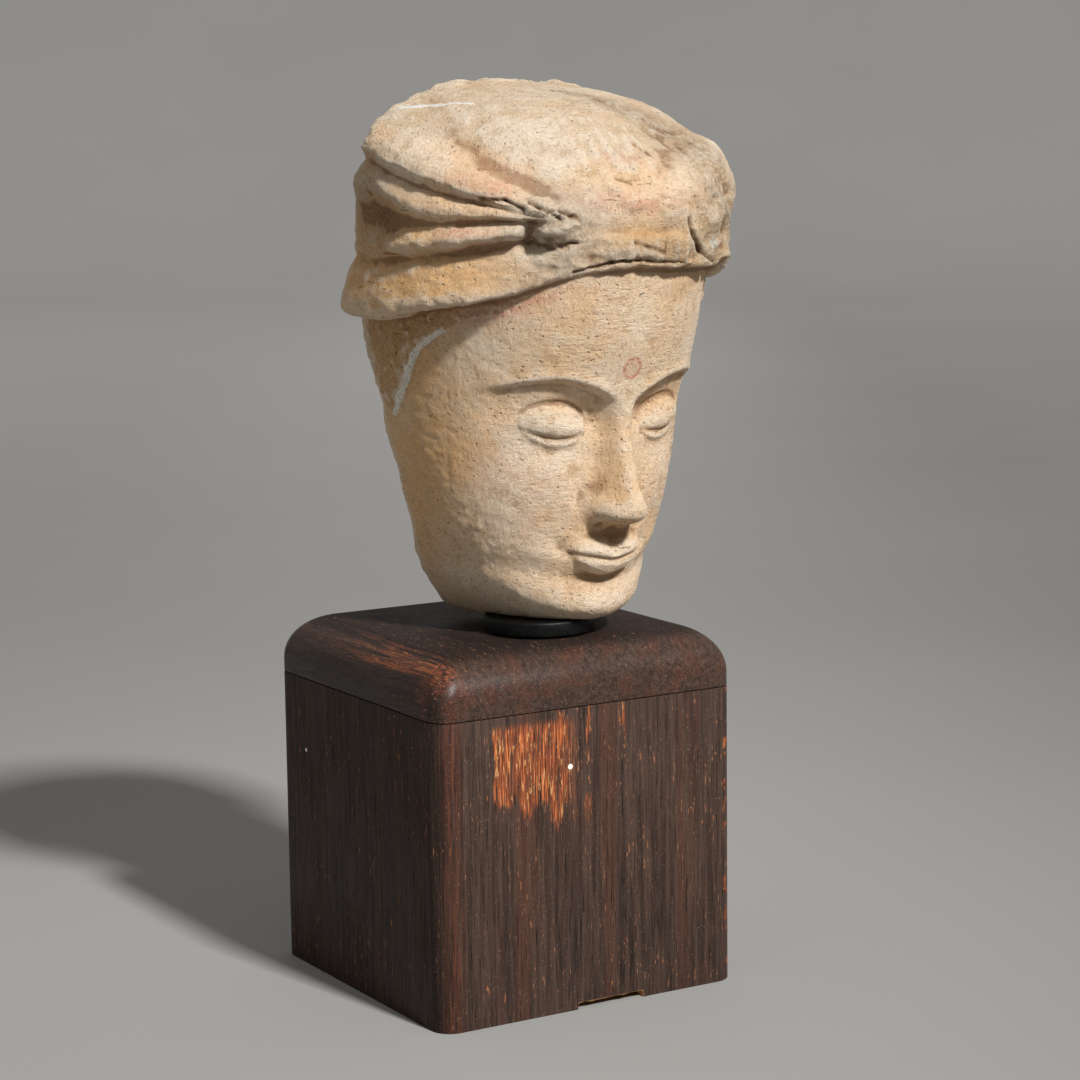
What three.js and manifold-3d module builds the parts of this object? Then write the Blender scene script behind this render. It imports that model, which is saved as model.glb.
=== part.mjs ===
import * as THREE from "three";
import { mergeVertices } from "three/addons/utils/BufferGeometryUtils.js";
import Module from "manifold-3d";

// Sizes in millimetres. Up is +Z, the face looks towards -Y, the origin is under the plinth.
const plinthWidth = 90; // left to right
const plinthDepth = 90; // front to back
const blockHeight = 80; // body of the plinth, below the seam
const capThickness = 15.8; // board on top of the body
const cornerRadius = 5.5; // upright corners of body and board
const edgeRound = 12; // round along the top edges of the board
const seamGap = 0.3; // between two pieces that touch
const notchLeft = -4.5; // loss in the foot of the front face
const notchRight = 15.5;
const notchHeight = 1.6;
const notchDepth = 5;
const headHeight = 134; // chin to crown along the head's own axis
const headPitch = 10; // degrees, nodding forward
const headYaw = 5; // degrees, turned to its own left
const headRight = 4.6; // head axis from the middle of the plinth
const headBack = 7.1;
const headGap = 2.2; // lowest point of the chin above the plinth
const flangeRadius = 14.5; // round foot of the mount
const flangeInHead = 2; // how far the foot is let into the underside
const postRadius = 4; // peg in the bore of the head
const pegLength = 30; // from the foot up
const pegFit = 0.3; // clearance round the peg
const mountRight = 0.5; // middle of the mount on the plinth
const mountForward = 19.5;

const wasm = await Module();
wasm.setup();

// Turns a closed geometry into a solid for joining and cutting.
function solidFrom(geometry) {
  const bare = new THREE.BufferGeometry();
  const plain = geometry.index ? geometry.toNonIndexed() : geometry;
  bare.setAttribute("position", plain.getAttribute("position"));
  const merged = mergeVertices(bare, 1e-4);
  return new wasm.Manifold(
    new wasm.Mesh({
      numProp: 3,
      vertProperties: new Float32Array(merged.attributes.position.array),
      triVerts: new Uint32Array(merged.index.array),
    }),
  );
}

// Turns a solid back into a geometry.
function geometryFrom(solid) {
  const mesh = solid.getMesh();
  const count = mesh.numVert;
  const points = new Float32Array(count * 3);
  for (let i = 0; i < count; i++) {
    for (let k = 0; k < 3; k++) {
      points[i * 3 + k] = mesh.vertProperties[i * mesh.numProp + k];
    }
  }
  const geometry = new THREE.BufferGeometry();
  geometry.setAttribute("position", new THREE.BufferAttribute(points, 3));
  geometry.setIndex(new THREE.BufferAttribute(new Uint32Array(mesh.triVerts), 1));
  geometry.computeVertexNormals();
  return geometry;
}

// Smooth helpers for the carved form.
function clamp(value, low, high) {
  return Math.min(high, Math.max(low, value));
}
function step(from, to, value) {
  const t = clamp((value - from) / (to - from), 0, 1);
  return t * t * (3 - 2 * t);
}
function bump(value) {
  return Math.exp(-value * value);
}
function smoothMax(a, b, k) {
  const h = Math.max(k - Math.abs(a - b), 0) / k;
  return Math.max(a, b) + h * h * k * 0.25;
}
// Smooth curve through a table of [at, value] pairs.
function curve(table, at) {
  const last = table.length - 1;
  if (at <= table[0][0]) return table[0][1];
  if (at >= table[last][0]) return table[last][1];
  let i = 0;
  while (at > table[i + 1][0]) i++;
  const slope = (k) => {
    const a = table[Math.max(k - 1, 0)];
    const b = table[Math.min(k + 1, last)];
    return (b[1] - a[1]) / (b[0] - a[0]);
  };
  const [x0, y0] = table[i];
  const [x1, y1] = table[i + 1];
  const w = x1 - x0;
  const t = (at - x0) / w;
  const rise = t * t * (3 - 2 * t);
  const out = t * (1 - t) * (1 - t) * w * slope(i);
  const back = t * t * (1 - t) * w * slope(i + 1);
  return y0 + (y1 - y0) * rise + out - back;
}

// Head in its own frame, as shares of a head 134 units high: x to its left, z up from the chin,
// depth towards the face. Each table runs upwards from the chin.
const sideWidth = [
  [-9, 17], [-4, 20], [0, 22], [4, 24.5], [8, 27], [15, 30.6], [22, 33.2],
  [32, 36], [45, 38.4], [56, 39.6], [66, 40], [80, 40.6], [98, 42], [140, 42],
];
const midDepth = [
  [-9, 30], [-4, 35], [0, 39.5], [4, 43], [8, 44.6], [12, 44], [16.5, 42.2],
  [22, 43.6], [32, 44], [45, 43.2], [56, 43.2], [64.7, 45.4], [80, 47.8], [98, 47.6], [140, 47.6],
];
const noseHeight = [
  [27.5, 0], [30, 1.6], [32, 7.6], [34, 10.8], [37, 11.6], [41, 10], [46, 7.6],
  [52, 5.2], [58, 3.2], [63, 1.5], [69, 0],
];
const noseWidth = [
  [28, 5.6], [33, 5.6], [38, 5.2], [44, 4.3], [52, 3.8], [60, 4], [69, 6.5],
];
const hairEdge = [
  [44, -2], [50, -0.6], [54, 2], [60, 4.6], [65, 6.4], [69, 8.4], [72, 11.4], [76, 16.5], [80, 24], [84, 32],
];
const breakDepth = [
  [-9, -3], [12, -2.5], [24, -2], [34, -0.5], [43, 2.5], [52, 6], [64, 12.5],
  [74, 16], [86, 17.5], [104, 15], [120, 13], [140, 12],
];

// Brows, lids, nose, lips and chin as relief on the front, by common proportions.
function faceRelief(x, z) {
  const side = Math.abs(x);
  let h = 0;
  // eye hollow and brow edge
  const browLine = 62.2 + 6.2 * Math.sin(clamp((side - 2) / 31, 0, 1) * Math.PI * 0.93);
  const along = step(2, 7, side) * (1 - step(28, 35, side));
  const below = browLine - z;
  h += along * 0.9 * bump((z - browLine - 0.6) / 2);
  h -= along * 2.4 * step(-0.8, 1.8, below) * (1 - step(5, 13, below));
  h -= 1.8 * bump((side - 9) / 5.5) * bump((z - 58) / 6);
  h -= 1.2 * bump((side - 18) / 9) * bump((z - 50) / 5);
  // eyeball under the lowered lid
  const eyeX = (side - 17) / 8.6;
  const ball = clamp(1 - eyeX * eyeX, 0, 1);
  const upper = 56.6 + 4.4 * Math.pow(ball, 0.75);
  const slit = 54.9 - 1.9 * ball + 0.5 * eyeX;
  const lower = slit - 2.6 * ball;
  const inEye = step(0, 0.2, ball);
  h += inEye * 1.9 * Math.sqrt(ball) * step(lower - 1, slit, z) * (1 - step(slit + 2, upper + 1.5, z));
  h -= inEye * 1.1 * bump((z - upper - 0.7) / 0.9);
  h -= inEye * 1.3 * bump((z - slit + 0.5) / 0.8);
  h += inEye * 0.7 * bump((z - lower - 0.2) / 0.9);
  // nose, wings and nostrils
  const nw = curve(noseWidth, z);
  h += curve(noseHeight, z) * bump(Math.pow(side / nw, 1.35));
  h += 4.4 * bump((side - 5.8) / 2.7) * bump((z - 35.2) / 3.1);
  h -= 1 * bump((side - 9.6) / 1.5) * bump((z - 36.5) / 3.5);
  h -= 2.2 * bump((side - 3.8) / 1.6) * bump((z - 31) / 1.4);
  // lips
  const lip = clamp(1 - (side / 12) * (side / 12), 0, 1);
  const line = 21.6 - 0.5 * bump(side / 3) + 1.2 * Math.pow(side / 12, 2);
  const top = line + (4.6 - 0.7 * bump(side / 1.6)) * Math.sqrt(lip);
  const low = line - 5.4 * Math.pow(clamp(1 - (side / 10.5) * (side / 10.5), 0, 1), 0.6);
  h += 3 * Math.pow(lip, 0.6) * step(line - 1.1, line + 0.9, z) * (1 - step(top - 1.6, top + 1.2, z));
  h += 3 * Math.pow(lip, 0.8) * step(low - 0.8, low + 2, z) * (1 - step(line - 1, line + 0.8, z));
  h -= 1.2 * step(0, 0.3, lip) * bump((z - line) / 0.8);
  h -= 1.5 * bump((side - 12.4) / 2) * bump((z - line) / 2.4);
  h -= 0.9 * bump(side / 2) * bump((z - 28) / 2.6);
  // cheeks and chin
  h += 1 * bump((side - 21) / 9) * bump((z - 40) / 9);
  h -= 1 * bump((side - 15) / 4) * bump((z - 27) / 7);
  h += 1.6 * bump(side / 9) * bump((z - 7) / 5.5);
  h += 2 * bump(side / 14) * bump((z - 21) / 6);
  h -= 1 * bump(side / 9) * bump((z - 14.6) / 2.2);
  return h;
}

// Turban seen all round: each table gives the height of an edge at an angle from the front.
const rimLine = [
  [-180, 74], [-120, 74], [-100, 75], [-84, 77], [-69, 82], [-53, 86], [-39, 90],
  [-28, 94], [-17, 96.6], [0, 97.4], [21, 96.2], [45, 93.6], [80, 83], [110, 76], [180, 74],
];
const foldTop = [
  [-180, 86], [-105, 88], [-89, 94], [-70, 95.6], [-51, 97], [-36, 99], [-24, 100],
  [24, 100], [50, 97], [80, 95], [105, 88], [180, 86],
];
const thirdLow = [
  [-180, 89], [-97, 90.5], [-80, 94.5], [-67, 97.4], [-54, 100.7], [-45, 102.9], [-38, 104.3],
  [-30, 105.6], [30, 106], [55, 101], [90, 94], [180, 91],
];
const thirdTop = [
  [-180, 95.5], [-97, 97], [-79, 100.8], [-65, 103.8], [-52, 106.2], [-38, 108], [-30, 108.4],
  [30, 109], [60, 106], [100, 99], [180, 97],
];
const secondLow = [
  [-180, 106], [-97, 105.6], [-79, 105.2], [-70, 105.4], [-61, 106.3], [-52, 107.6], [-45, 108.5],
  [-38, 109], [-30, 109.2], [30, 109.6], [60, 108], [100, 107], [180, 107],
];
const firstLow = [
  [-180, 116], [-98, 116.5], [-82, 115], [-68, 113.8], [-58, 113], [-49, 112.2], [-42, 111.4],
  [-30, 110.8], [30, 112], [53, 115], [98, 115], [180, 115],
];
const firstTop = [
  [-180, 129], [-100, 128.5], [-76, 124.8], [-60, 121.7], [-50, 118.9], [-42, 116.4], [-35, 114.4],
  [-28, 113], [28, 114], [54, 121], [100, 128], [180, 128],
];
const massTop = [
  [-180, 114], [-12, 114], [-2, 116], [8, 120.6], [22, 124], [43, 126], [66, 125], [95, 119], [180, 116],
];

// One roll of cloth between two edges, fullest near its lower edge.
function roll(z, low, top, height, lip) {
  const t = (z - low) / (top - low);
  return height * step(-lip, lip, t) * (1 - step(0.3, 1.05, t));
}

function turbanRelief(angle, z) {
  const near = step(-24, -36, angle) * step(-150, -115, angle);
  const folded = near + 0.7 * step(62, 90, angle) * step(150, 112, angle);
  const rim = curve(rimLine, angle);
  let h = 0;
  h += 2.6 * step(-30, -60, angle) * roll(z, rim - 5, curve(foldTop, angle) + 1, 1, 0.1);
  h += 1.6 * step(30, 70, angle) * roll(z, rim - 4, curve(foldTop, angle) + 1, 1, 0.1);
  const apart = 1 - step(-76, -90, angle);
  const soft = 0.16 + 0.35 * (1 - apart);
  h += folded * apart * roll(z, curve(thirdLow, angle), curve(thirdTop, angle) + 2, 3, 0.2);
  h += folded * roll(z, curve(secondLow, angle), curve(firstLow, angle) + 1, 3, soft);
  h += folded * roll(z, curve(firstLow, angle), curve(firstTop, angle) + 1.6, 3.8, 0.14);
  h -= folded * (0.5 + 0.6 * step(-45, -60, angle)) * bump((z - curve(firstTop, angle) - 1.6) / 1.7);
  h -= folded * 1.3 * bump((z - curve(thirdLow, angle) + 1.2) / 1.8);
  // hollow at the side, under the second fold
  h -= 3 * bump((angle + 89) / 11) * bump((z - 103) / 4.5);
  // clasp, broken
  h += 2.4 * bump((angle + 29) / 6) * bump((z - 109) / 6.5);
  h -= 4.4 * bump((angle + 37.6) / 1.8) * bump((z - 105) / 3);
  // shallow hanging folds over the brow
  const hang = Math.hypot((angle + 6) / 15, (z - 131) / 20);
  h += 0.45 * bump((angle + 4) / 18) * Math.sin(hang * 17) * (1 - step(0.9, 1.4, hang));
  h -= 1.5 * bump((angle + 4) / 15) * bump((z - 107.5) / 2.4);
  // small bosses along the front rim
  const wander = angle + 3 * Math.sin(angle * 0.17);
  const boss = Math.pow(Math.abs(Math.cos((wander / 12.5) * Math.PI)), 0.7);
  h += 1.5 * step(-30, -22, angle) * (1 - step(38, 46, angle)) * bump((z - rim - 5) / 4) * (boss - 0.45);
  // rough mass at the far side of the front
  const mass = step(-4, 10, angle) * (1 - step(62, 96, angle)) * (0.3 + 0.7 * step(103, 117, z));
  h += 3.6 * mass * (1 - step(-2.4, 1, z - curve(massTop, angle)));
  h += 1.1 * bump((angle - 30) / 16) * Math.sin(z * 0.55 + angle * 0.2) * Math.sin(angle * 0.31);
  return h;
}

// Below zero inside the head, above zero outside; near the surface it is about the distance.
function form(x, depth, z) {
  const side = Math.abs(x);
  const wide = curve(sideWidth, z);
  const front = curve(midDepth, z);
  const ahead = Math.max(depth + 2, 0);
  const fade = step(0, 14, depth - 12);
  const deep = front + 2 + fade * faceRelief(x, z);
  // temple hair, a thin raised sheet
  const hair = 1.2 * step(50, 56, z) * step(1, -1, depth - curve(hairEdge, z));
  const across = side / (wide + hair);
  const along = ahead / deep;
  const q = Math.pow(Math.pow(across, 2.25) + Math.pow(along, 2.25), 1 / 2.25);
  let face = (q - 1) * (wide * (1 - 0.5 * step(10, 40, depth)) + 0.5 * front * step(10, 40, depth));
  const under = -5.4 + 5.6 * step(0, 40, depth) + 4.2 * step(12, 30, side) * step(-4, 20, depth);
  face = smoothMax(face, under - z, 9);
  face = Math.max(face, z - 112);
  // turban
  const angle = (Math.atan2(x, depth) * 180) / Math.PI;
  const rise = Math.max(z - 101, 0) / 33;
  const flat = Math.hypot(x / 48.4, (depth - 0.5) / 49.6);
  const full = 2.9 - 0.75 * bump((angle - 25) / 40);
  const dome = Math.pow(Math.pow(flat, full) + Math.pow(rise, full), 1 / full);
  const hold = step(0.25, 0.8, flat);
  let turban = (dome - 1) * 46 - hold * turbanRelief(angle, z);
  turban = smoothMax(turban, curve(rimLine, angle) - z, 2.2);
  let all = Math.min(face, turban);
  // broken back
  const wave = 0.8 * Math.sin(x * 0.21 + z * 0.07) * Math.sin(z * 0.16 + 1.2);
  const rough = wave + 0.5 * Math.sin(x * 0.43 - z * 0.3);
  const swell = (5 + 11 * step(60, 90, z)) * (1 - Math.min(1, (side / 46) * (side / 46)));
  const back = curve(breakDepth, z) + swell + rough;
  all = smoothMax(all, -depth - back, 2.4);
  return all;
}

// Rays to the face start lower than those to the turban.
function startHeight(row) {
  return 92 - 44 * step(95, 140, row);
}

// Finds the surface along a ray from the middle.
function surfacePoint(row, column) {
  const rad = Math.PI / 180;
  const start = [0, 2, startHeight(row)];
  const dx = Math.sin(row * rad) * Math.sin(column * rad);
  const dd = Math.sin(row * rad) * Math.cos(column * rad);
  const dz = Math.cos(row * rad);
  const value = (r) => form(start[0] + dx * r, start[1] + dd * r, start[2] + dz * r);
  let r = 8;
  while (r < 120 && value(r) < 0) r += 0.8;
  let near = r - 0.8;
  let far = r;
  for (let k = 0; k < 14; k++) {
    const mid = (near + far) / 2;
    if (value(mid) < 0) near = mid;
    else far = mid;
  }
  return [start[0] + dx * near, start[1] + dd * near, start[2] + dz * near];
}

// Spreads the columns by a weight at each angle, so the carved front gets more of them.
function spread(from, to, count, weight) {
  const fine = 2000;
  const sums = [0];
  for (let i = 0; i < fine; i++) {
    sums.push(sums[i] + weight(from + ((i + 0.5) / fine) * (to - from)));
  }
  const lines = [];
  let k = 0;
  for (let i = 0; i <= count; i++) {
    const want = (i / count) * sums[fine];
    while (k < fine && sums[k + 1] < want) k++;
    const part = k < fine ? (want - sums[k]) / (sums[k + 1] - sums[k]) : 0;
    lines.push(from + ((k + part) / fine) * (to - from));
  }
  return lines;
}

// Ray angle, down from straight up, that meets a given height about 50 out from the axis.
function rayFor(height) {
  let low = 20;
  let high = 150;
  for (let k = 0; k < 40; k++) {
    const mid = (low + high) / 2;
    const meets = startHeight(mid) + 50 / Math.tan((mid * Math.PI) / 180);
    if (meets > height) low = mid;
    else high = mid;
  }
  return (low + high) / 2;
}

// Rows follow the edges of the folds: so many rows from each guide to the next, down from the top.
const rowCounts = [6, 4, 1, 3, 1, 3, 1, 4, 1, 5, 8, 12, 4, 4];
function rowGuides(angle) {
  const folds = step(-26, -38, angle) + step(56, 74, angle);
  const mix = (front, table) => front + (curve(table, angle) - front) * folds;
  const rim = curve(rimLine, angle);
  const first = mix(119, firstLow);
  const heights = [
    mix(126, firstTop), first + 0.9, first - 1.3, mix(113, secondLow), mix(108, thirdTop),
    mix(103, thirdLow), Math.max(mix(100, foldTop), rim + 2.5), rim + 0.8, rim - 1.6, 70, 45, 12, -3,
  ];
  return [0, ...heights.map(rayFor), 180];
}

function makeHead() {
  const columns = spread(-180, 180, 68, (a) => {
    const front = step(-78, -68, a) * (1 - step(60, 72, a));
    const sides = step(-125, -105, a) * (1 - step(100, 120, a));
    const middle = 1 - step(22, 34, Math.abs(a + 2));
    return 0.36 + 0.35 * sides + 0.75 * front + 0.4 * middle;
  });
  const rad = Math.PI / 180;
  const size = headHeight / 134;
  const points = [];
  const put = (row, column) => {
    const p = surfacePoint(row, column);
    points.push(p[0] * size, -p[1] * size, p[2] * size);
  };
  const ring = columns.length - 1;
  const guides = columns.map(rowGuides);
  put(0, 0);
  let rows = 0;
  rowCounts.forEach((count, part) => {
    for (let i = part ? 0 : 1; i < count; i++) {
      rows++;
      for (let j = 0; j < ring; j++) {
        const from = guides[j][part];
        put(from + ((guides[j][part + 1] - from) * i) / count, columns[j]);
      }
    }
  });
  put(180, 0);
  const foot = points.length / 3 - 1;
  const index = [];
  for (let j = 0; j < ring; j++) {
    const k = (j + 1) % ring;
    index.push(0, 1 + j, 1 + k);
    index.push(foot, foot - ring + k, foot - ring + j);
    for (let i = 0; i < rows - 1; i++) {
      const a = 1 + i * ring + j;
      const b = 1 + i * ring + k;
      if ((i + j) % 2) index.push(a, a + ring, b, b, a + ring, b + ring);
      else index.push(a, a + ring, b + ring, a, b + ring, b);
    }
  }
  const geometry = new THREE.BufferGeometry();
  geometry.setAttribute("position", new THREE.Float32BufferAttribute(points, 3));
  geometry.setIndex(index);
  // turn the head, then set its lowest point over the plinth
  geometry.rotateX(headPitch * rad);
  geometry.rotateZ(headYaw * rad);
  geometry.computeBoundingBox();
  const lift = blockHeight + capThickness + headGap - geometry.boundingBox.min.z;
  geometry.translate(headRight, headBack, lift);
  return geometry;
}

const plinthTop = blockHeight + capThickness;

// Upright cylinder from one height to another.
function upright(radius, from, to, x, y, sides) {
  const geometry = new THREE.CylinderGeometry(radius, radius, to - from, sides);
  geometry.rotateX(Math.PI / 2);
  geometry.translate(x, y, (from + to) / 2);
  return geometry;
}

// Mount: a round foot with an eased edge, and a peg, turned in one piece.
function makePost() {
  const foot = headGap + flangeInHead;
  const ease = 0.8;
  const profile = [
    [0, 0], [flangeRadius - ease, 0], [flangeRadius, ease], [flangeRadius, foot - ease],
    [flangeRadius - ease, foot], [postRadius, foot], [postRadius, foot + pegLength - ease],
    [postRadius - ease, foot + pegLength], [0, foot + pegLength],
  ].map(([r, z]) => new THREE.Vector2(r, z));
  const geometry = new THREE.LatheGeometry(profile, 28);
  geometry.rotateX(Math.PI / 2);
  geometry.translate(mountRight, -mountForward, plinthTop + seamGap);
  return geometry;
}

// Rounded rectangle in plan.
function planShape(width, depth, radius) {
  const w = width / 2;
  const d = depth / 2;
  const plan = new THREE.Shape();
  plan.moveTo(-w + radius, -d);
  plan.lineTo(w - radius, -d);
  plan.absarc(w - radius, -d + radius, radius, -Math.PI / 2, 0, false);
  plan.lineTo(w, d - radius);
  plan.absarc(w - radius, d - radius, radius, 0, Math.PI / 2, false);
  plan.lineTo(-w + radius, d);
  plan.absarc(-w + radius, d - radius, radius, Math.PI / 2, Math.PI, false);
  plan.lineTo(-w, -d + radius);
  plan.absarc(-w + radius, -d + radius, radius, Math.PI, Math.PI * 1.5, false);
  return plan;
}

function makeBlock() {
  const geometry = new THREE.ExtrudeGeometry(planShape(plinthWidth, plinthDepth, cornerRadius), {
    depth: blockHeight,
    bevelEnabled: false,
    curveSegments: 8,
  });
  const loss = new THREE.BoxGeometry(notchRight - notchLeft, notchDepth * 2, notchHeight * 2);
  loss.translate((notchLeft + notchRight) / 2, -plinthDepth / 2, 0);
  return geometryFrom(solidFrom(geometry).subtract(solidFrom(loss)));
}

// Upper board: the plan drawn in, ring by ring, round a quarter circle.
function makeCap() {
  const plan = planShape(plinthWidth, plinthDepth, cornerRadius).getPoints(5);
  if (plan[0].distanceTo(plan[plan.length - 1]) < 1e-6) plan.pop();
  const from = blockHeight + seamGap;
  const round = Math.min(edgeRound, (plinthTop - from) * 0.95);
  const steps = 8;
  const rings = [[1, from]];
  for (let i = 0; i <= steps; i++) {
    const turn = ((Math.PI / 2) * i) / steps;
    const inset = round * (1 - Math.cos(turn));
    rings.push([1 - inset / (plinthWidth / 2), plinthTop - round + round * Math.sin(turn)]);
  }
  const points = [0, 0, from];
  for (const [scale, height] of rings) {
    for (const p of plan) points.push(p.x * scale, p.y * scale, height);
  }
  points.push(0, 0, plinthTop);
  const count = plan.length;
  const last = points.length / 3 - 1;
  const index = [];
  for (let j = 0; j < count; j++) {
    const k = (j + 1) % count;
    index.push(0, 1 + k, 1 + j);
    index.push(last, last - count + j, last - count + k);
    for (let i = 0; i < rings.length - 1; i++) {
      const a = 1 + i * count + j;
      const b = 1 + i * count + k;
      index.push(a, b, b + count, a, b + count, a + count);
    }
  }
  const geometry = new THREE.BufferGeometry();
  geometry.setAttribute("position", new THREE.Float32BufferAttribute(points, 3));
  geometry.setIndex(index);
  geometry.computeVertexNormals();
  return geometry;
}

const clay = new THREE.MeshStandardMaterial({ color: 0xcfb189, roughness: 0.9, metalness: 0 });
const darkWood = new THREE.MeshStandardMaterial({ color: 0x3a1e14, roughness: 0.45, metalness: 0 });
const black = new THREE.MeshStandardMaterial({ color: 0x0b0a0a, roughness: 0.3, metalness: 0 });

const group = new THREE.Group();
function add(name, geometry, material) {
  const mesh = new THREE.Mesh(geometry, material);
  mesh.name = name;
  group.add(mesh);
}

// head, with the seat and bore for the mount
const footTop = plinthTop + seamGap + headGap + flangeInHead;
const seat = upright(flangeRadius + pegFit, 0, footTop + pegFit, mountRight, -mountForward, 32);
const boreTop = footTop + pegLength + 1;
const bore = upright(postRadius + pegFit, footTop - 1, boreTop, mountRight, -mountForward, 24);
const cut = solidFrom(seat).add(solidFrom(bore));
add("head", geometryFrom(solidFrom(makeHead()).subtract(cut)), clay);
add("mount_post", makePost(), black);

add("plinth_cap", makeCap(), darkWood);
add("plinth_block", makeBlock(), darkWood);

export default group;
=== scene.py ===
import bpy
import bmesh
import math
import numpy as np
from mathutils import Matrix, Vector


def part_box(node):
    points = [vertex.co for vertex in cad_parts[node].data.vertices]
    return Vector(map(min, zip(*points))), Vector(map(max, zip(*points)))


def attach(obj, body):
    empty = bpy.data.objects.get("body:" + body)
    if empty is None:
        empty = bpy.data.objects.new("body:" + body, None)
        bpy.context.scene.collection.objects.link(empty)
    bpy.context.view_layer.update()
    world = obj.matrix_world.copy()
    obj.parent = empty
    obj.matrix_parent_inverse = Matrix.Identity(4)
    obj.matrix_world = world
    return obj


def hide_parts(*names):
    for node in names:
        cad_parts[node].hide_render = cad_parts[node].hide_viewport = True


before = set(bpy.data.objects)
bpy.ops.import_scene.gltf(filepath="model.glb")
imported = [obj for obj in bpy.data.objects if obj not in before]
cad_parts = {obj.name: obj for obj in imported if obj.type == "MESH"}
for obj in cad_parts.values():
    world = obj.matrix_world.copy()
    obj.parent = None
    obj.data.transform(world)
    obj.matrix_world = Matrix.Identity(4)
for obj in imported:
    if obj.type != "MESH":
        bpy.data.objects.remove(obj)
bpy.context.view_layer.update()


class Wire:
    # a socket that adds maths nodes when it is used in an expression
    def __init__(self, kit, socket):
        self.kit = kit
        self.socket = socket

    def maths(self, operation, first, second):
        return self.kit.node("ShaderNodeMath", {"operation": operation}, {0: first, 1: second})

    def __add__(self, other):
        return self.maths("ADD", self, other)

    def __radd__(self, other):
        return self.maths("ADD", other, self)

    def __sub__(self, other):
        return self.maths("SUBTRACT", self, other)

    def __rsub__(self, other):
        return self.maths("SUBTRACT", other, self)

    def __mul__(self, other):
        return self.maths("MULTIPLY", self, other)

    def __rmul__(self, other):
        return self.maths("MULTIPLY", other, self)


class Finish:
    # one procedural material, built node by node
    def __init__(self, name, roughness, specular):
        self.material = bpy.data.materials.new(name)
        self.material.use_nodes = True
        self.tree = self.material.node_tree
        self.shader = self.tree.nodes["Principled BSDF"]
        self.shader.inputs["Roughness"].default_value = roughness
        self.shader.inputs["Specular IOR Level"].default_value = specular

    def node(self, kind, settings, sockets, out=0):
        made = self.tree.nodes.new(kind)
        for key, value in settings.items():
            setattr(made, key, value)
        for key, value in sockets.items():
            if isinstance(value, Wire):
                self.tree.links.new(value.socket, made.inputs[key])
            else:
                made.inputs[key].default_value = value
        return Wire(self, made.outputs[out])

    def place(self, scale=(1, 1, 1), turn=(0, 0, 0), shift=(0, 0, 0)):
        at = self.node("ShaderNodeTexCoord", {}, {}, "Object")
        return self.node("ShaderNodeMapping", {},
                         {"Vector": at, "Scale": scale, "Rotation": turn, "Location": shift})

    def noise(self, at, scale, detail=3.0, rough=0.55):
        return self.node("ShaderNodeTexNoise", {},
                         {"Vector": at, "Scale": scale, "Detail": detail, "Roughness": rough})

    def cells(self, at, scale):
        return self.node("ShaderNodeTexVoronoi", {}, {"Vector": at, "Scale": scale}, "Distance")

    def part(self, vector, axis):
        return self.node("ShaderNodeSeparateXYZ", {}, {"Vector": vector}, axis)

    def measure(self, operation, first, second=(0, 0, 0)):
        return self.node("ShaderNodeVectorMath", {"operation": operation}, {0: first, 1: second}, "Value")

    def between(self, value, low, high, toLow=0.0, toHigh=1.0):
        return self.node("ShaderNodeMapRange", {"interpolation_type": "SMOOTHSTEP"},
                         {"Value": value, "From Min": low, "From Max": high,
                          "To Min": toLow, "To Max": toHigh})

    def mix(self, amount, first, second):
        return self.node("ShaderNodeMix", {"data_type": "RGBA"}, {0: amount, 6: first, 7: second}, 2)

    def layers(self, base, colours, rows):
        # each row lays one colour over the base, from none at low to most at high of its grain
        for grain, low, high, most, name in rows:
            base = self.mix(self.between(grain, low, high, 0, most), base, colours[name])
        return base

    def stored(self, name, out="Fac"):
        return self.node("ShaderNodeAttribute", {"attribute_name": name}, {}, out)

    def finish(self, colour, rough=None, bumps=()):
        self.tree.links.new(colour.socket, self.shader.inputs["Base Color"])
        if rough is not None:
            self.tree.links.new(rough.socket, self.shader.inputs["Roughness"])
        normal = None
        for height, distance, strength in bumps:
            sockets = {"Height": height, "Distance": distance, "Strength": strength}
            if normal is not None:
                sockets["Normal"] = normal
            normal = self.node("ShaderNodeBump", {}, sockets)
        if normal is not None:
            self.tree.links.new(normal.socket, self.shader.inputs["Normal"])
        return self.material


def paint(r, g, b):
    # screen colour 0-255 to the shader's linear colour
    def linear(v):
        v /= 255
        return v / 12.92 if v <= 0.04045 else ((v + 0.055) / 1.055) ** 2.4
    return (linear(r), linear(g), linear(b), 1)


def paints(table):
    return {name: paint(*rgb) for name, rgb in table.items()}


def setMode(mode):
    bpy.ops.object.mode_set(mode=mode)


def clearSelection():
    if bpy.context.mode != "OBJECT":
        setMode("OBJECT")
    bpy.ops.object.select_all(action="DESELECT")


def choose(piece):
    clearSelection()
    piece.select_set(True)
    bpy.context.view_layer.objects.active = piece


def smoothUnder(degrees):
    # smooth shading where two faces meet at less than this angle
    bpy.ops.object.shade_smooth_by_angle(angle=math.radians(degrees))


def cover(piece, material):
    piece.data.materials.clear()
    piece.data.materials.append(material)


def takeNew(name):
    piece = bpy.context.active_object
    piece.name = name
    piece.data.name = name
    return piece


def settle(piece):
    # leaves the piece at the origin with its place in its mesh
    choose(piece)
    bpy.ops.object.transform_apply(location=True, rotation=True, scale=True)


def pick(piece, kind, test):
    # in edit mode, selects the edges or the faces that pass the test
    bpy.ops.mesh.select_mode(type=kind)
    bpy.ops.mesh.select_all(action="DESELECT")
    shape = bmesh.from_edit_mesh(piece.data)
    for item in shape.edges if kind == "EDGE" else shape.faces:
        item.select = test(item)
    shape.select_flush_mode()
    bmesh.update_edit_mesh(piece.data)


def selectEdges(piece, test):
    # the test gets the two ends of an edge
    pick(piece, "EDGE", lambda edge: test(edge.verts[0].co, edge.verts[1].co))


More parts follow.
